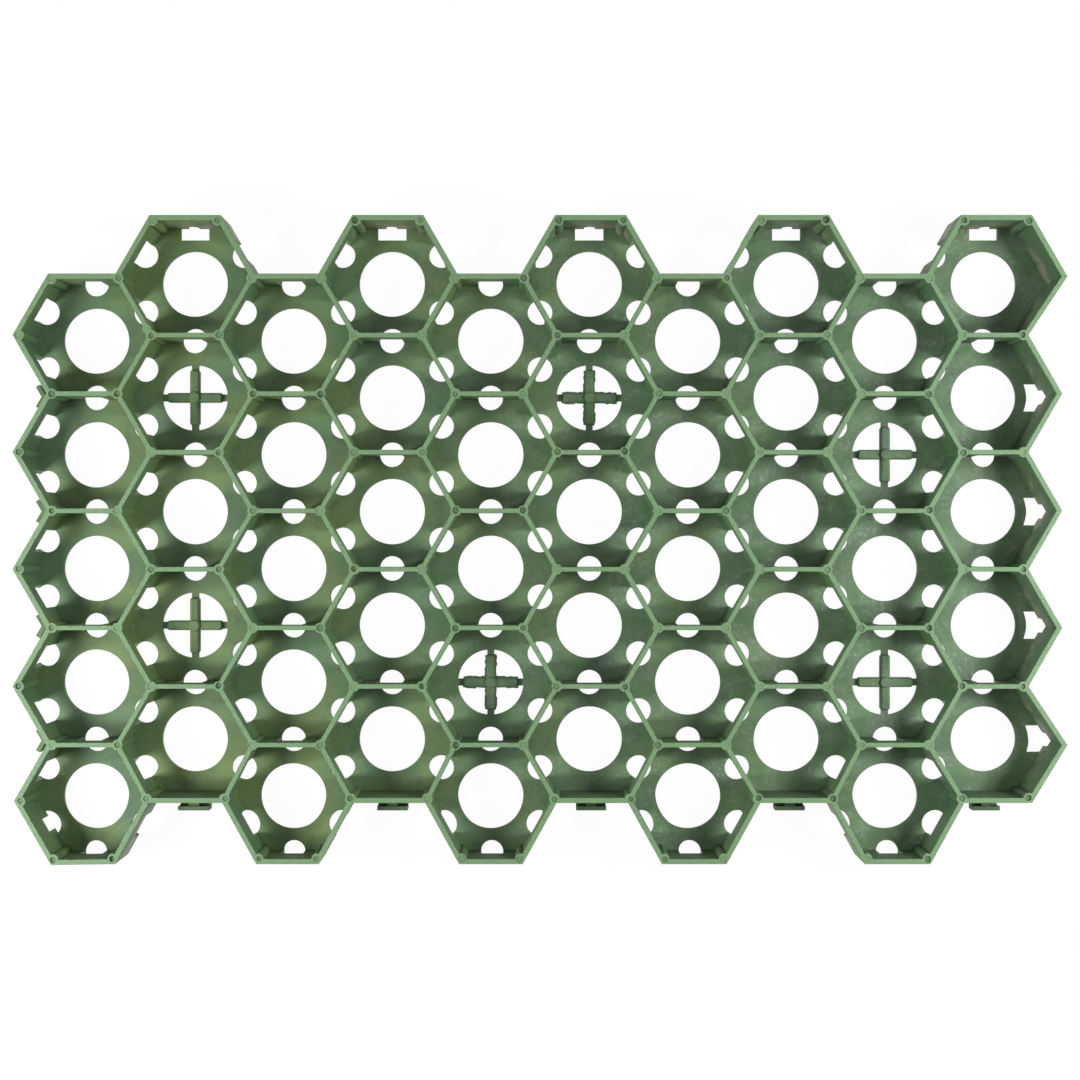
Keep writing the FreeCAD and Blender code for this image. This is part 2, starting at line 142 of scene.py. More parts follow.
class PaverSizes(bpy.types.PropertyGroup):
    """Sizes of the panel's finer forms."""

    cell_pitch: bpy.props.FloatProperty(
        name="Cell pitch", description="Across the flats of one cell, between wall middles",
        default=0.080, unit="LENGTH")
    floor_thickness: bpy.props.FloatProperty(
        name="Floor", description="Thickness of the perforated floor", default=0.003, unit="LENGTH")
    inner_wall: bpy.props.FloatProperty(
        name="Inner wall", description="Thickness of a wall between cells", default=0.0032, unit="LENGTH")
    outer_wall: bpy.props.FloatProperty(
        name="Outer wall", description="Thickness of a wall on the outline", default=0.0036, unit="LENGTH")
    centre_hole: bpy.props.FloatProperty(
        name="Centre hole", description="Diameter of the hole in the middle of a cell",
        default=0.046, unit="LENGTH")
    edge_hole: bpy.props.FloatProperty(
        name="Edge hole", description="Diameter of the hole under a notch", default=0.0174, unit="LENGTH")
    post: bpy.props.FloatProperty(
        name="Post", description="Diameter of the post where walls meet", default=0.0073, unit="LENGTH")
    pin_mark: bpy.props.FloatProperty(
        name="Pin mark", description="Diameter of the mark on top of a post", default=0.0045, unit="LENGTH")
    pin_depth: bpy.props.FloatProperty(
        name="Pin depth", description="Greatest depth of the mark on a post", default=0.0016, unit="LENGTH")
    pin_aside: bpy.props.FloatProperty(
        name="Pin aside", description="How far a mark may lie from the post's middle",
        default=0.0006, unit="LENGTH")
    blob: bpy.props.FloatProperty(
        name="Blob", description="Diameter of a blob of plastic stuck to a rim",
        default=0.006132, unit="LENGTH")
    rim_round: bpy.props.FloatProperty(
        name="Rim rounding", description="Radius along the top edges of the walls",
        default=0.00035, unit="LENGTH")
    low_notch: bpy.props.FloatProperty(
        name="Low notch", description="Top of the notches in the lower edge's walls, above the underside",
        default=0.0140, unit="LENGTH")
    warp_right: bpy.props.FloatProperty(
        name="Warp right", description="How far the walls on the left of the lower cells lean right",
        default=0.0036, unit="LENGTH")
    warp_left: bpy.props.FloatProperty(
        name="Warp left", description="How far the wall on the right of the first lower cell leans left",
        default=0.0028, unit="LENGTH")
    warp_first: bpy.props.FloatProperty(
        name="Warp first", description="How far the lower left wall of the first cell leans right",
        default=0.0020, unit="LENGTH")
    warp_in: bpy.props.FloatProperty(
        name="Warp in", description="How far the recessed walls of the lower edge have drawn in",
        default=0.0024, unit="LENGTH")
    warp_side: bpy.props.FloatProperty(
        name="Warp side", description="How far the walls of the right edge have drawn in",
        default=0.0036, unit="LENGTH")
    runner_width: bpy.props.FloatProperty(
        name="Runner width", description="Width of a runner's bars", default=0.0068, unit="LENGTH")
    runner_height: bpy.props.FloatProperty(
        name="Runner height", description="Height of a runner's bars", default=0.0050, unit="LENGTH")
    gate_width: bpy.props.FloatProperty(
        name="Gate width", description="Width of the thin ends of a runner", default=0.0049, unit="LENGTH")
    gate_height: bpy.props.FloatProperty(
        name="Gate height", description="Height of the thin ends of a runner",
        default=0.0022, unit="LENGTH")
    gate_length: bpy.props.FloatProperty(
        name="Gate length", description="Free length of the thin ends", default=0.0035, unit="LENGTH")
    boss: bpy.props.FloatProperty(
        name="Boss", description="Diameter of the boss in a runner's middle", default=0.0082, unit="LENGTH")
    boss_height: bpy.props.FloatProperty(
        name="Boss height", description="Height of the boss above the underside",
        default=0.0065, unit="LENGTH")
    flash_width: bpy.props.FloatProperty(
        name="Flash width", description="How far the flash stands out beside a bar",
        default=0.0006, unit="LENGTH")
    flash_base: bpy.props.FloatProperty(
        name="Flash base", description="Height of the flash above the underside",
        default=0.0011, unit="LENGTH")
    flash_thickness: bpy.props.FloatProperty(
        name="Flash thickness", description="Thickness of the flash", default=0.0006, unit="LENGTH")
    flash_tear: bpy.props.FloatProperty(
        name="Flash tear", description="How far the flash's edge strays", default=0.0007, unit="LENGTH")


class PaverColours(bpy.types.PropertyGroup):
    """Colours of the plastic and what lies on it, and of the painted highlight on the rims and the painted
    reflection of the floor on the walls.
    """

    leaf: bpy.props.FloatVectorProperty(
        name="Leaf green", description="The plastic's main colour", subtype="COLOR",
        default=(0.078, 0.152, 0.068))
    moss: bpy.props.FloatVectorProperty(
        name="Moss", description="Yellower clouds in the recycled plastic", subtype="COLOR",
        default=(0.118, 0.186, 0.054))
    slate: bpy.props.FloatVectorProperty(
        name="Slate", description="Darker, greyer clouds", subtype="COLOR",
        default=(0.050, 0.096, 0.055))
    # Rim colour: partly rubbed wear, partly a painted highlight on the wall tops that catch more light.
    rim: bpy.props.FloatVectorProperty(
        name="Rim", description="Rubbed, paler tops of the walls", subtype="COLOR",
        default=(0.148, 0.258, 0.126))
    # Beige painted reflection of the white floor, low on the outer walls.
    floor_reflection_beige: bpy.props.FloatVectorProperty(
        name="Scuff", description="Beige dirt low on the outer walls", subtype="COLOR",
        default=(0.330, 0.285, 0.225))
    dust: bpy.props.FloatVectorProperty(
        name="Dust", description="Pale film on the floors", subtype="COLOR",
        default=(0.330, 0.370, 0.325))


class PaverWear(bpy.types.PropertyGroup):
    """How cloudy, worn and dirty the plastic is, and how strong its painted highlight on the rims and
    painted reflection of the floor are.
    """

    slate_clouds: bpy.props.FloatProperty(
        name="Slate clouds", description="Strength of the darker clouds", default=0.75, subtype="FACTOR")
    # Rim paleness: partly rubbed wear, partly a painted highlight on the wall tops.
    rim_wear_and_highlight: bpy.props.FloatProperty(
        name="Rim wear", description="How far the rims are rubbed pale", default=0.92, subtype="FACTOR")
    dust_film: bpy.props.FloatProperty(
        name="Dust film", description="Strength of the even dust", default=0.14, subtype="FACTOR")
    dust_specks: bpy.props.FloatProperty(
        name="Dust specks", description="Strength of the speckled dust", default=0.42, subtype="FACTOR")
    left_dust: bpy.props.FloatProperty(
        name="Left dust", description="Share of the dust that lies on the left", default=0.15,
        subtype="FACTOR")
    # Strength of the painted floor reflection low on the walls beside the slots.
    slot_reflection: bpy.props.FloatProperty(
        name="Slot scuffs", description="Strength of the dirt beside the slots", default=0.7,
        subtype="FACTOR")
    # Even painted reflection of the floor, low on the outer walls.
    edge_reflection: bpy.props.FloatProperty(
        name="Edge stain", description="Even dirt low on the outer walls", default=0.25, subtype="FACTOR")
    # Mottled painted reflection of the floor, low on the outer walls.
    edge_reflection_mottle: bpy.props.FloatProperty(
        name="Edge smears", description="Smeared dirt low on the outer walls", default=0.5,
        subtype="FACTOR")
    grain: bpy.props.FloatProperty(
        name="Grain", description="Strength of the fine dark grain", default=0.18, subtype="FACTOR")


class PaverStage(bpy.types.PropertyGroup):
    """Where the photograph was taken from, and its light."""

    camera_height: bpy.props.FloatProperty(
        name="Camera height", description="Height of the camera above the underside",
        default=1.00, unit="LENGTH")
    photo_width: bpy.props.FloatProperty(
        name="Photo width", description="Width of floor that the photograph takes in",
        default=0.7616, unit="LENGTH")
    floor_white: bpy.props.FloatProperty(
        name="Floor white", description="Share of the floor's white that no shadow darkens",
        default=0.96, subtype="FACTOR")
    floor_width: bpy.props.FloatProperty(
        name="Floor width", description="Width of the stage's floor", default=8.0, unit="LENGTH")
    floor_gap: bpy.props.FloatProperty(
        name="Floor gap", description="How far the floor lies below the underside",
        default=0.0002, unit="LENGTH")
    floor_grey: bpy.props.FloatProperty(
        name="Floor grey", description="How much light the floor throws back", default=0.86,
        subtype="FACTOR")
    all_round: bpy.props.FloatProperty(
        name="All-round light", description="Strength of the even light from all round", default=0.19)


def deselect_all():
    """Leave edit mode with nothing selected."""
    if bpy.context.mode != "OBJECT":
        bpy.ops.object.mode_set(mode="OBJECT")
    bpy.ops.object.select_all(action="DESELECT")


def pick(piece):
    """Make one object the only selected and active one."""
    deselect_all()
    piece.select_set(True)
    bpy.context.view_layer.objects.active = piece


def named(name):
    """The object that the last operator added, under its own name."""
    piece = bpy.context.object
    piece.name = name
    piece.data.name = name
    return piece


def apply_place(piece):
    """Put an object's place, turn and scale into its mesh."""
    pick(piece)
    bpy.ops.object.transform_apply(location=True, rotation=True, scale=True)


def apply_modifier(piece, kind, **settings):
    """Add a modifier and apply it at once."""
    pick(piece)
    modifier = piece.modifiers.new(kind.lower(), kind)
    for key, value in settings.items():
        setattr(modifier, key, value)
    bpy.ops.object.modifier_apply(modifier=modifier.name)


def combine(piece, tool, operation):
    """Cut a closed mesh with a tool or join the tool to it, and delete the tool."""
    before = len(piece.data.vertices)
    apply_modifier(piece, "BOOLEAN", operation=operation, solver="MANIFOLD", object=tool)
    bpy.data.objects.remove(tool)
    if len(piece.data.vertices) in (0, before):
        raise RuntimeError(f"{operation.lower()} left {piece.name} unchanged or empty")


def select_edges(piece, wanted):
    """Enter edit mode on a piece with only the edges selected whose two ends satisfy a test."""
    pick(piece)
    mesh = piece.data
    bpy.ops.object.mode_set(mode="EDIT")
    bpy.ops.mesh.select_mode(type="EDGE")
    bpy.ops.mesh.select_all(action="DESELECT")
    bpy.ops.object.mode_set(mode="OBJECT")
    for edge in mesh.edges:
        ends = [mesh.vertices[index].co for index in edge.vertices]
        edge.select = wanted(*ends)
    bpy.ops.object.mode_set(mode="EDIT")


def scatter(pattern, places, name):
    """Copies of one mesh at many places, joined as one object; the pattern is deleted."""
    copies = []
    for place in places:
        copy = pattern.copy()
        copy.data = pattern.data.copy()
        copy.matrix_world = place
        bpy.context.scene.collection.objects.link(copy)
        copies.append(copy)
    bpy.data.objects.remove(pattern)
    deselect_all()
    for copy in copies:
        copy.select_set(True)
    bpy.context.view_layer.objects.active = copies[0]
    bpy.ops.object.join()
    joined = named(name)
    apply_place(joined)
    return joined


def cell_centre(column, row):
    """Where a cell's middle lies on the underside."""
    pitch = bpy.context.scene.paver_sizes.cell_pitch
    x = (column - (COLUMNS - 1) / 2) * pitch * sqrt(3) / 2
    y = (row - (ROWS - 1) / 2 - 1 / 4 + (column % 2) / 2) * pitch
    return Vector((x, y, 0))


def all_cells():
    """Every cell as its column and row."""
    return [(column, row) for column in range(COLUMNS) for row in range(ROWS)]


def around(reach, turn):
    """A level vector of a given reach and direction."""
    return Vector((reach * cos(turn), reach * sin(turn), 0))


def spot_key(spot):
    """Names a level place to the nearest millimetre."""
    return round(spot.x * 1000), round(spot.y * 1000)


def is_plain_wall(column, row, side):
    """Whether a wall on the outline has no notch: beside slots and hooks, and all down the right."""
    if column == COLUMNS - 1 and side in (UPPER_RIGHT, LOWER_RIGHT):
        return True
    high = column % 2 == 1
    return high and (row, side) in ((0, DOWN), (ROWS - 1, UP))


class Wall:
    """One wall: its middle, the turn of its face, which of three ways it runs, and what it is."""

    def __init__(self, spot, side, notched):
        self.spot = spot
        self.turn = (side + 0.5) * SIXTH_TURN
        self.way = side % 3
        self.notched = notched
        self.outer = True

    def place(self):
        """Puts a shape along this wall, with its Y pointing out of the cell."""
        return Matrix.Translation(self.spot) @ Matrix.Rotation(self.turn - pi / 2, 4, "Z")


def all_walls():
    """Every wall once; those on the outline belong to one cell only."""
    pitch = bpy.context.scene.paver_sizes.cell_pitch
    found = {}
    for column, row in all_cells():
        for side in range(6):
            spot = cell_centre(column, row) + around(pitch / 2, (side + 0.5) * SIXTH_TURN)
            if spot_key(spot) in found:
                found[spot_key(spot)].outer = False
            else:
                found[spot_key(spot)] = Wall(spot, side, not is_plain_wall(column, row, side))
    return list(found.values())


def all_posts():
    """The middle of every post. On the outline a post stands back towards the cells beside it."""
    pitch = bpy.context.scene.paver_sizes.cell_pitch
    found = {}
    for column, row in all_cells():
        centre = cell_centre(column, row)
        for corner in range(6):
            if column < COLUMNS - 1 or corner > 0:
                spot = centre + around(pitch / sqrt(3), corner * SIXTH_TURN)
                found.setdefault(spot_key(spot), (spot, []))[1].append(centre)
    places = []
    for spot, centres in found.values():
        inward = sum(centres, Vector()) / len(centres) - spot
        if len(centres) in STAND_BACK:
            spot = spot + inward.normalized() * STAND_BACK[len(centres)]
        places.append(spot)
    return places


def upright(radius, low, high, sides, name):
    """A closed upright cylinder about the origin."""
    deselect_all()
    bpy.ops.mesh.primitive_cylinder_add(
        vertices=sides, radius=radius, depth=high - low, location=(0, 0, (low + high) / 2))
    piece = named(name)
    apply_place(piece)
    return piece


def merged_copy(node, name):
    """A copy of a CAD node's mesh with its loose triangles joined."""
    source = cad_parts[node]
    piece = bpy.data.objects.new(name, source.data.copy())
    bpy.context.scene.collection.objects.link(piece)
    pick(piece)
    bpy.ops.object.mode_set(mode="EDIT")
    bpy.ops.mesh.select_all(action="SELECT")
    bpy.ops.mesh.remove_doubles(threshold=NEAR)
    bpy.ops.object.mode_set(mode="OBJECT")
    bpy.ops.mesh.customdata_custom_splitnormals_clear()
    return piece


def box(low, high, name):
    """A closed block between two corners."""
    deselect_all()
    low, high = Vector(low), Vector(high)
    bpy.ops.mesh.primitive_cube_add(size=1, location=(low + high) / 2)
    piece = named(name)
    piece.scale = high - low
    apply_place(piece)
    return piece


class PAVER_OT_moulding(bpy.types.Operator):
    """Build the panel: round its holes, rims and posts, press in the pin marks and join the runners"""

    bl_idname = "paver.build_moulding"
    bl_label = "Build Moulding"

    def execute(self, context):
        sizes = context.scene.paver_sizes
        top = CAD_BOX[1][2]
        piece = merged_copy(NODE, "paver_moulding")
        self.open_holes(piece, sizes)
        self.lower_notches(piece, sizes)
        self.cap_walls(piece, sizes, top)
        self.add_posts(piece, sizes, top)
        self.add_blobs(piece, sizes, top)
        self.press_pin_marks(piece, sizes, top)
        self.add_runners(piece, sizes)
        piece.data.materials.clear()
        piece.data.materials.append(green_plastic())
        self.warp_edges(piece, sizes)
        finish_mesh(piece)
        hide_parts(NODE)
        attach(piece, BODY)
        return {"FINISHED"}

    def open_holes(self, piece, sizes):
        """Ream the floor's holes round, which also takes the plain runners out."""
        low = -sizes.floor_thickness
        high = 3 * sizes.floor_thickness
        reamer = upright(sizes.centre_hole / 2, low, high, WIDE_SIDES, "centre_reamer")
        places = [Matrix.Translation(cell_centre(*cell)) for cell in all_cells()]
        combine(piece, scatter(reamer, places, "centre_reamers"), "DIFFERENCE")
        reamer = upright(sizes.edge_hole / 2, low, high, HOLE_SIDES, "edge_reamer")
        places = [Matrix.Translation(wall.spot) for wall in all_walls() if wall.notched]
        combine(piece, scatter(reamer, places, "edge_reamers"), "DIFFERENCE")

    def lower_notches(self, piece, sizes):
        """Close the upper part of the notches in the lower edge's walls, and the sides of the first one."""
        half_wall = sizes.inner_wall / 2
        inside = NEAR - half_wall
        outside = sizes.outer_wall - half_wall - NEAR
        reach = sizes.edge_hole / 2 + half_wall / 2
        above = 2 * sizes.low_notch
        block = box((-reach, inside, sizes.low_notch), (reach, outside, above), "notch_block")
        line = cell_centre(0, 0).y - NEAR
        lowest = [wall for wall in all_walls() if wall.outer and wall.spot.y < line]
        combine(piece, scatter(block, [wall.place() for wall in lowest], "notch_blocks"), "UNION")
        first = min(lowest, key=lambda wall: wall.spot.x)
        for start, end in ((-reach, -reach / 2), (reach / 2, reach)):
            block = box((start, inside, sizes.floor_thickness / 2), (end, outside, above), "notch_side")
            combine(piece, scatter(block, [first.place()], "notch_side"), "UNION")

    def cap_walls(self, piece, sizes, top):
        """Skim the rims off and put on caps with rounded edges, those of one direction at a time."""
        skim = top - 2 * sizes.rim_round
        low, high = (Vector(corner) * SKIMMER_SPREAD for corner in CAD_BOX)
        low.z, high.z = skim, 2 * top
        combine(piece, box(low, high, "skimmer"), "DIFFERENCE")
        half_side = sizes.cell_pitch / sqrt(3) / 2
        half_wall = sizes.inner_wall / 2
        beyond = sizes.outer_wall - half_wall
        reach = half_side - sizes.post / 3
        walls = all_walls()
        for way in range(3):
            cap = rounded_cap((-reach, -half_wall), (reach, half_wall), skim, top, sizes.rim_round)
            places = [wall.place() for wall in walls if wall.way == way and not wall.outer]
            combine(piece, scatter(cap, places, "inner_caps"), "UNION")
            reach_out = half_side + beyond / sqrt(3)
            cap = rounded_cap((-reach_out, -half_wall), (reach_out, beyond), skim, top, sizes.rim_round)
            places = [wall.place() for wall in walls if wall.way == way and wall.outer]
            combine(piece, scatter(cap, places, "outer_caps"), "UNION")

    def add_posts(self, piece, sizes, top):
        """Stand a round post with a rounded top wherever walls meet."""
        post = upright(sizes.post / 2, sizes.floor_thickness / 2, top, POST_SIDES, "post")
        select_edges(post, lambda a, b: min(a.z, b.z) > top - NEAR)
        bpy.ops.mesh.bevel(offset=sizes.rim_round, segments=2)
        bpy.ops.object.mode_set(mode="OBJECT")
        places = [Matrix.Translation(spot) for spot in all_posts()]
        combine(piece, scatter(post, places, "posts"), "UNION")

    def add_blobs(self, piece, sizes, top):
        """Melt a few blobs of plastic onto the rims beside a post."""
        for place in BLOBS:
            blob = upright(sizes.blob / 2, top - sizes.post / 2, top - NEAR, BLOB_SIDES, "blob")
            combine(piece, scatter(blob, [Matrix.Translation((*place, 0))], "blob"), "UNION")

    def press_pin_marks(self, piece, sizes, top):
        """Press a shallow round mark, never quite in the middle, into every post."""
        draw = random.Random(SEED)
        mark = upright(sizes.pin_mark / 2, -sizes.pin_depth, sizes.pin_depth, MARK_SIDES, "pin_mark")
        places = []
        for spot in all_posts():
            depth = PIN_SHALLOWEST + (1 - PIN_SHALLOWEST) * draw.random() ** PIN_BIAS
            aside = around(draw.uniform(0, sizes.pin_aside), draw.uniform(0, 2 * pi))
            width = draw.uniform(*PIN_WIDTHS)
            place = Matrix.Translation(spot + aside + Vector((0, 0, top)))
            places.append(place @ Matrix.Diagonal((width, width, depth, 1)))
        combine(piece, scatter(mark, places, "pin_marks"), "DIFFERENCE")

    def add_runners(self, piece, sizes):
        """Join the six runners to the floor, two of them with ragged flash along their bars."""
        plain_runners = set(RUNNER_CELLS) - RAGGED_RUNNERS
        for cells, ragged in ((plain_runners, False), (RAGGED_RUNNERS, True)):
            places = [Matrix.Translation(cell_centre(*cell)) for cell in sorted(cells)]
            combine(piece, scatter(runner(sizes, ragged), places, "runners"), "UNION")

    def warp_edges(self, piece, sizes):
        """Shift the lower and right edges' walls: to the right, to the left and towards the upper edge."""
        corners = warped_corners(sizes)
        shifts = [warp_at(point.co, corners, sizes) for point in piece.data.vertices]
        reach = max(shift.length for spot, shift in corners)
        for axis, sign in ((0, 1), (0, -1), (1, 1)):
            group = piece.vertex_groups.new(name="warp")
            for index, shift in enumerate(shifts):
                share = sign * shift[axis] / reach
                if share > 0:
                    group.add([index], share, "REPLACE")
            apply_modifier(piece, "DISPLACE", direction="XY"[axis], strength=sign * reach,
                           mid_level=0.0, vertex_group=group.name)
            piece.vertex_groups.clear()


def warped_corners(sizes):
    """The corners along the lower and right edges, each with its shift. The end tips keep their place.

    A cell's corners count counter-clockwise from its right tip.
    """
    side = sizes.cell_pitch / sqrt(3)
    last = COLUMNS - 1
    recess = Vector((0, sizes.warp_in, 0))
    lowest = recess * LOWEST_WALL_SHARE
    corners = []
    for column in range(0, COLUMNS, 2):
        right = Vector((sizes.warp_right, 0, 0))
        left = Vector((-sizes.warp_left * (1 - column / (last - 1)), 0, 0))
        shifts = [right + recess, right + lowest, left + lowest, left + recess]
        if column == 0:
            shifts[:2] = [around(sizes.warp_first, SIXTH_TURN), around(sizes.warp_first, 0)]
        for corner, shift in zip(range(3, 7), shifts):
            corners.append((cell_centre(column, 0) + around(side, corner * SIXTH_TURN), shift))
    corners.append((cell_centre(last, 0) + around(side, 5 * SIXTH_TURN), recess))
    inset = Vector((-sizes.warp_side, 0, 0))
    for row in range(ROWS):
        centre = cell_centre(last, row)
        end_tip = row in (0, ROWS - 1)
        corners.append((centre + around(side, 0), Vector() if end_tip else inset))
        if row < ROWS - 1:
            corners.append((centre + around(side, SIXTH_TURN), inset))
    return corners


def warp_at(point, corners, sizes):
    """How far a point has moved: as far as the edge beside it and outside, and less further in."""
    pitch = sizes.cell_pitch
    if point.y > corners[0][0].y + pitch and point.x < corners[-1][0].x - pitch:
        return Vector()
    level = Vector((point.x, point.y, 0))
    nearest = None
    for (start, start_shift), (end, end_shift) in zip(corners, corners[1:]):
        along = intersect_point_line(level, start, end)[1]
        along = min(max(along, 0), 1)
        gap = (level - start.lerp(end, along)).length
        if nearest is None or gap < nearest[0]:
            outside = (end - start).cross(level - start).z < 0
            nearest = (gap, outside, start_shift.lerp(end_shift, along))
    gap, outside, shift = nearest
    low_fade = (pitch - sizes.centre_hole - sizes.inner_wall) / 2
    height = min(point.z / (4 * sizes.floor_thickness), 1)
    fade = low_fade + (pitch / 2 - low_fade) * height
    return shift * (1 if outside else max(1 - gap / fade, 0))


def rounded_cap(low, high, base, top, radius):
    """A strip along a wall's top, a little sunk into the wall, with its long edges rounded."""
    cap = box((*low, base - radius), (*high, top), "wall_cap")
    select_edges(cap, lambda a, b: min(a.z, b.z) > top - NEAR and abs(a.x - b.x) > abs(a.y - b.y))
    bpy.ops.mesh.bevel(offset=radius, segments=2)
    bpy.ops.object.mode_set(mode="OBJECT")
    return cap


def runner_bar(sizes):
    """One bar along X: half-round on top, with cut corners and a thin gate at each end."""
    reach = sizes.centre_hole / 2 - sizes.gate_length
    half = sizes.runner_width / 2
    bar = box((-reach, -half, BAR_BASE), (reach, half, sizes.runner_height), "runner_bar")
    select_edges(bar, lambda a, b: abs(a.z - b.z) > half)
    bpy.ops.mesh.bevel(offset=half * BAR_END_ROUND, segments=3)
    bpy.ops.object.mode_set(mode="OBJECT")
    select_edges(bar, lambda a, b: min(a.z, b.z) > sizes.runner_height - NEAR)
    bpy.ops.mesh.bevel(offset=half * BAR_TOP_ROUND, segments=4)
    bpy.ops.object.mode_set(mode="OBJECT")
    half = sizes.gate_width / 2
    reach = sizes.centre_hole / 2 + sizes.gate_height / 2
    combine(bar, box((-reach, -half, GATE_BASE), (reach, half, sizes.gate_height), "gate"), "UNION")
    return bar


def ragged_flash(sizes):
    """A thin, torn sheet that squeezed out along a bar."""
    reach = sizes.centre_hole / 2 - sizes.gate_length
    half = sizes.runner_width / 2 + sizes.flash_width
    top = sizes.flash_base + sizes.flash_thickness
    flash = box((-reach, -half, sizes.flash_base), (reach, half, top), "flash")
    select_edges(flash, lambda a, b: abs(a.x - b.x) > reach)
    bpy.ops.mesh.subdivide(number_cuts=FLASH_CUTS)
    bpy.ops.transform.vertex_random(offset=sizes.flash_tear, uniform=FLASH_EVENNESS, seed=SEED)
    bpy.ops.object.mode_set(mode="OBJECT")
    return flash


def runner(sizes, ragged):
    """A runner about the origin: two crossed bars with a round boss in the middle."""
    bar = runner_bar(sizes)
    if ragged:
        combine(bar, ragged_flash(sizes), "UNION")
    second = bar.copy()
    second.data = bar.data.copy()
    second.rotation_euler.z = pi / 2
    bpy.context.scene.collection.objects.link(second)
    apply_place(second)
    combine(bar, second, "UNION")
    boss = upright(sizes.boss / 2, sizes.gate_height / 4, sizes.boss_height, POST_SIDES, "boss")
    select_edges(boss, lambda a, b: min(a.z, b.z) > sizes.boss_height - NEAR)
    bpy.ops.mesh.bevel(offset=sizes.boss / 8, segments=3)
    bpy.ops.object.mode_set(mode="OBJECT")
    combine(bar, boss, "UNION")
    return bar


def finish_mesh(piece):
    """Smooth a piece's shading within its flat and round stretches."""
    pick(piece)
    bpy.ops.object.mode_set(mode="EDIT")
    bpy.ops.mesh.select_all(action="SELECT")
    bpy.ops.mesh.dissolve_degenerate(threshold=TINY)
    bpy.ops.object.mode_set(mode="OBJECT")
    bpy.ops.object.shade_smooth_by_angle(angle=SMOOTH_ANGLE)
    apply_modifier(piece, "WEIGHTED_NORMAL", keep_sharp=True)


class Field:
    """A socket of a shader that works in Python expressions."""

    def __init__(self, tree, socket):
        self.tree = tree
        self.socket = socket

    def maths(self, operation, first, second):
        """The outcome of one Math node."""
        node = make_node(self.tree, "ShaderNodeMath", {"operation": operation}, {0: first, 1: second})
        return Field(self.tree, node.outputs[0])

    def __add__(self, other):
        return self.maths("ADD", self, other)

    def __radd__(self, other):
        return self.maths("ADD", other, self)

    def __sub__(self, other):
        return self.maths("SUBTRACT", self, other)

    def __rsub__(self, other):
        return self.maths("SUBTRACT", other, self)

    def __mul__(self, other):
        return self.maths("MULTIPLY", self, other)

    def __rmul__(self, other):
        return self.maths("MULTIPLY", other, self)

    def between(self, low, high):
        """0 below low, 1 above high and smooth between."""
        node = make_node(self.tree, "ShaderNodeMapRange", {"interpolation_type": "SMOOTHSTEP"},
                         {"Value": self, "From Min": low, "From Max": high})
        return Field(self.tree, node.outputs["Result"])


def make_node(tree, kind, settings=None, sockets=None):
    """Any node, with its settings first and then the values or links of its sockets."""
    node = tree.nodes.new(kind)
    for key, value in (settings or {}).items():
        setattr(node, key, value)
    for key, value in (sockets or {}).items():
        if isinstance(value, Field):
            tree.links.new(value.socket, node.inputs[key])
        else:
            node.inputs[key].default_value = value
    return node


class Recipe:
    """A material being written: its tree, its coordinates and the patterns that it is mixed from."""

    def __init__(self, name):
        self.material = bpy.data.materials.new(name)
        self.material.use_nodes = True
        self.tree = self.material.node_tree
        self.shader = self.tree.nodes["Principled BSDF"]
        place = make_node(self.tree, "ShaderNodeTexCoord")
        self.place = Field(self.tree, place.outputs["Object"])
        face = make_node(self.tree, "ShaderNodeNewGeometry")
        facing = Field(self.tree, face.outputs["Normal"])
        self.northward, self.upward = self.parts(facing, "YZ")
        self.x, self.y, self.z = self.parts(self.place, "XYZ")

    def parts(self, vector, axes):
        """A vector's parts along some axes."""
        node = make_node(self.tree, "ShaderNodeSeparateXYZ", None, {0: vector})
        return [Field(self.tree, node.outputs[axis]) for axis in axes]

    def noise(self, scale, detail=4.0, roughness=0.55, distortion=0.0, shift=0.0):
        """Clouds of a given fineness, about 0.5 on average."""
        moved = make_node(self.tree, "ShaderNodeMapping", None,
                          {"Vector": self.place, "Location": (shift, shift, shift)})
        node = make_node(self.tree, "ShaderNodeTexNoise", None, {
            "Vector": Field(self.tree, moved.outputs["Vector"]), "Scale": scale, "Detail": detail,
            "Roughness": roughness, "Distortion": distortion})
        return Field(self.tree, node.outputs["Fac"])

    def mix(self, factor, first, second, blend="MIX"):
        """One colour changing into another."""
        node = make_node(self.tree, "ShaderNodeMix", {"data_type": "RGBA", "blend_type": blend}, {
            "Factor": factor, 6: self.colour(first), 7: self.colour(second)})
        return Field(self.tree, node.outputs[2])

    def colour(self, value):
        """A colour as a mix takes it."""
        return value if isinstance(value, Field) else (*value, 1.0)

    def feed(self, socket, field):
        """Lead a field into the finished surface."""
        self.tree.links.new(field.socket, self.shader.inputs[socket])


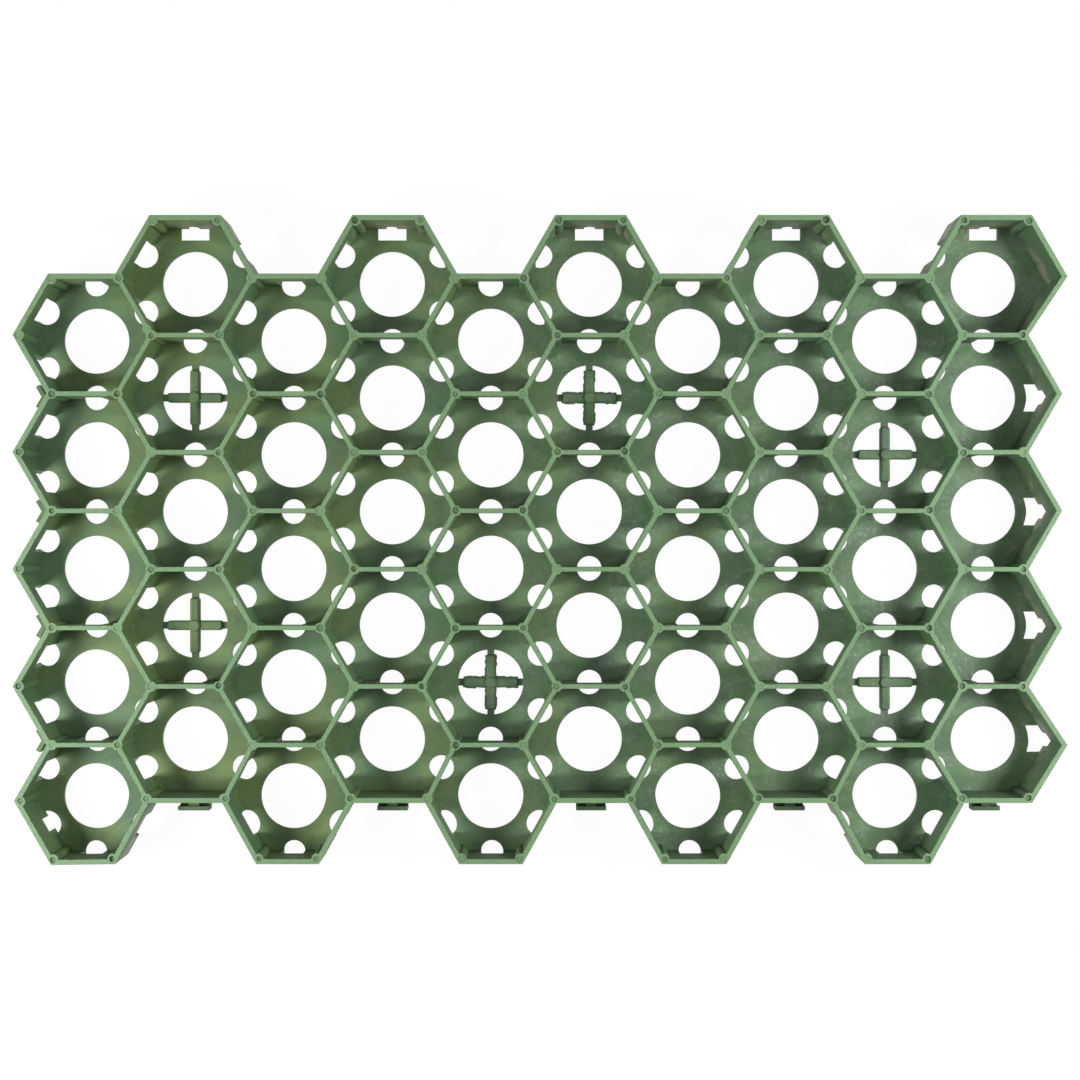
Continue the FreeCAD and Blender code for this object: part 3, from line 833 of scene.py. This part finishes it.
def green_plastic():
    """Recycled green plastic: cloudy, dull, rubbed pale with a painted highlight on the rims, dusty on the
    floors, and with a painted reflection of the floor low on the outer walls.
    """
    wear = bpy.context.scene.paver_wear
    recipe = Recipe("recycled_green_plastic")
    patches = recipe.noise(scale=55.0, detail=5.0, roughness=0.6, distortion=0.8, shift=3.0)
    grain = recipe.noise(scale=420.0, detail=3.0, roughness=0.6, shift=5.0)
    towards_right = recipe.x.between(*RIGHTWARD_BAND)
    colour = cloudy_green(recipe, wear, patches, towards_right)
    # Painted highlight on the rim tops, together with their rubbed wear.
    colour = worn_and_highlit_rims(recipe, wear, colour)
    colour = dusty_floors(recipe, wear, colour, towards_right)
    # Painted reflection of the floor, beige, low on the outer walls.
    colour = walls_with_floor_reflection(recipe, wear, colour)
    slate = bpy.context.scene.paver_colours.slate
    recipe.feed("Base Color", recipe.mix(grain.between(0.3, 0.8) * wear.grain, colour, slate))
    recipe.feed("Roughness", 0.46 + patches * 0.22 + grain * 0.08)
    bump = make_node(recipe.tree, "ShaderNodeBump", None, {
        "Strength": 0.25, "Distance": 0.0004, "Height": grain * 0.6 + patches * 0.8})
    recipe.feed("Normal", Field(recipe.tree, bump.outputs["Normal"]))
    recipe.shader.inputs["IOR"].default_value = 1.5
    return recipe.material


def cloudy_green(recipe, wear, patches, towards_right):
    """Leaf green with moss clouds, mostly on the left, and slate ones."""
    colours = bpy.context.scene.paver_colours
    clouds = recipe.noise(scale=16.0, detail=3.0, roughness=0.5, distortion=0.4)
    mossy = clouds.between(0.35, 0.68) * (1 - towards_right * 0.8)
    colour = recipe.mix(mossy, colours.leaf, colours.moss)
    return recipe.mix(patches.between(0.48, 0.75) * wear.slate_clouds, colour, colours.slate)


def worn_and_highlit_rims(recipe, wear, colour):
    """Paler plastic on the tops of the walls and posts: partly rubbed wear, partly a painted highlight
    where the upward faces catch more light.
    """
    start, end = (CAD_BOX[1][2] - depth for depth in RIM_BAND)
    # Upward faces at the top: painted highlight and rubbed wear.
    rim = recipe.z.between(start, end) * recipe.upward.between(0.2, 0.7)
    return recipe.mix(rim * wear.rim_wear_and_highlight, colour, bpy.context.scene.paver_colours.rim)


def dusty_floors(recipe, wear, colour, towards_right):
    """A film of dust with specks on the floors, thicker towards the right."""
    film = recipe.noise(scale=60.0, detail=4.0, roughness=0.6, distortion=0.4, shift=9.0).between(0.35, 0.7)
    specks = recipe.noise(scale=330.0, detail=5.0, roughness=0.7, distortion=0.3, shift=12.0)
    specks = specks.between(0.48, 0.66)
    level = recipe.upward.between(0.6, 0.95) * (1 - recipe.z.between(*FLOOR_BAND))
    dusty = level * (wear.left_dust + towards_right * (1 - wear.left_dust)) * film
    strength = wear.dust_film + specks * wear.dust_specks
    return recipe.mix(dusty * strength, colour, bpy.context.scene.paver_colours.dust)


def walls_with_floor_reflection(recipe, wear, colour):
    """Painted reflection of the white floor, beige and mottled, low on the walls beside the slots and
    outside on the upper and lower edges.
    """
    floor_reflection_beige = bpy.context.scene.paver_colours.floor_reflection_beige
    upright_face = 1 - recipe.upward.between(0.1, 0.4)
    low_down = upright_face * (1 - recipe.z.between(*LOW_WALL_BAND))
    reflection_mottle = recipe.noise(scale=70.0, detail=5.0, roughness=0.65, distortion=0.5, shift=15.0)
    reflection_mottle = reflection_mottle.between(0.40, 0.62)
    at_slots = recipe.x.between(*RIGHT_SLOT_BAND) + recipe.y.between(*UPPER_SLOT_BAND)
    # Painted floor reflection beside the slots.
    colour = recipe.mix(low_down * at_slots.between(0.0, 1.0) * reflection_mottle * wear.slot_reflection, colour, floor_reflection_beige)
    # Painted floor reflection outside on the upper and lower edges.
    outermost = (recipe.y * recipe.y).between(*OUTERMOST_BAND)
    outside = (recipe.northward * recipe.y).between(0.040, 0.070) * outermost
    strength = wear.edge_reflection + reflection_mottle * wear.edge_reflection_mottle
    return recipe.mix(outside * low_down * strength, colour, floor_reflection_beige)


def show_camera(tree, factor, light, seen, output):
    """Light the scene by one shader and show the camera a share of another."""
    blend = make_node(tree, "ShaderNodeMixShader", None, {
        0: factor, 1: Field(tree, light.outputs[0]), 2: Field(tree, seen.outputs[0])})
    end = make_node(tree, output)
    tree.links.new(blend.outputs[0], end.inputs["Surface"])


def white_floor(stage):
    """A white floor whose shadows show only faintly to the camera."""
    material = bpy.data.materials.new("studio_white")
    material.use_nodes = True
    tree = material.node_tree
    tree.nodes.clear()
    grey = (stage.floor_grey, stage.floor_grey, stage.floor_grey, 1.0)
    matte = make_node(tree, "ShaderNodeBsdfDiffuse", None, {"Color": grey})
    glow = make_node(tree, "ShaderNodeEmission", None, {"Color": WHITE, "Strength": 1.0})
    rays = make_node(tree, "ShaderNodeLightPath")
    seen = Field(tree, rays.outputs["Is Camera Ray"]) + Field(tree, rays.outputs["Is Glossy Ray"])
    factor = seen.between(0.0, 1.0) * stage.floor_white
    show_camera(tree, factor, matte, glow, "ShaderNodeOutputMaterial")
    return material


def pale_world(stage):
    """Even light from all round, which the camera sees as white."""
    world = bpy.data.worlds.new("studio")
    world.use_nodes = True
    tree = world.node_tree
    tree.nodes.clear()
    light = make_node(tree, "ShaderNodeBackground", None, {"Color": WHITE, "Strength": stage.all_round})
    seen = make_node(tree, "ShaderNodeBackground", None, {"Color": WHITE, "Strength": 1.0})
    rays = make_node(tree, "ShaderNodeLightPath")
    factor = Field(tree, rays.outputs["Is Camera Ray"])
    show_camera(tree, factor, light, seen, "ShaderNodeOutputWorld")
    return world


class PAVER_OT_stage(bpy.types.Operator):
    """Set the white floor, the soft lights and the camera over the panel"""

    bl_idname = "paver.set_stage"
    bl_label = "Set Stage"

    def execute(self, context):
        stage = context.scene.paver_stage
        self.add_floor(stage)
        self.add_lights(context, stage)
        self.add_camera(context, stage)
        context.scene.view_settings.view_transform = "Standard"
        return {"FINISHED"}

    def add_floor(self, stage):
        """A wide plane just under the panel."""
        deselect_all()
        bpy.ops.mesh.primitive_plane_add(size=stage.floor_width, location=(0, 0, -stage.floor_gap))
        floor = named("studio_floor")
        apply_place(floor)
        floor.data.materials.append(white_floor(stage))

    def add_lights(self, context, stage):
        """Soft lamps from the left, from the right and from above, and even light from all round."""
        for name, place, power, size in LAMPS:
            lamp = bpy.data.lights.new(name, "AREA")
            lamp.energy = power
            lamp.size = size
            piece = bpy.data.objects.new(name, lamp)
            piece.location = place
            piece.rotation_euler = (-Vector(place)).to_track_quat("-Z", "Y").to_euler()
            context.scene.collection.objects.link(piece)
        context.scene.world = pale_world(stage)

    def add_camera(self, context, stage):
        """A camera straight above the panel, with the photograph's view."""
        camera = bpy.data.cameras.new("photo_camera")
        camera.sensor_fit = "HORIZONTAL"
        camera.lens = camera.sensor_width * stage.camera_height / stage.photo_width
        piece = bpy.data.objects.new("photo_camera", camera)
        piece.location = (0, 0, stage.camera_height)
        context.scene.collection.objects.link(piece)
        context.scene.camera = piece


class PAVER_PT_panel(bpy.types.Panel):
    """Lists the steps that dress the panel"""

    bl_idname = "PAVER_PT_panel"
    bl_label = "Paving Panel"
    bl_space_type = "VIEW_3D"
    bl_region_type = "UI"
    bl_category = "Paver"

    def draw(self, context):
        for name, group in GROUPS.items():
            for key in group.__annotations__:
                self.layout.prop(getattr(context.scene, name), key)
        for operator in OPERATORS:
            self.layout.operator(operator.bl_idname)


GROUPS = {
    "paver_sizes": PaverSizes,
    "paver_colours": PaverColours,
    "paver_wear": PaverWear,
    "paver_stage": PaverStage,
}
OPERATORS = [PAVER_OT_moulding, PAVER_OT_stage]
CLASSES = [*GROUPS.values(), *OPERATORS, PAVER_PT_panel]


def register():
    for item in CLASSES:
        bpy.utils.register_class(item)
    for key, group in GROUPS.items():
        setattr(bpy.types.Scene, key, bpy.props.PointerProperty(type=group))


def unregister():
    for key in GROUPS:
        delattr(bpy.types.Scene, key)
    for item in reversed(CLASSES):
        bpy.utils.unregister_class(item)


def main():
    register()
    bpy.ops.paver.build_moulding()
    bpy.ops.paver.set_stage()


if __name__ == "__main__":
    main()
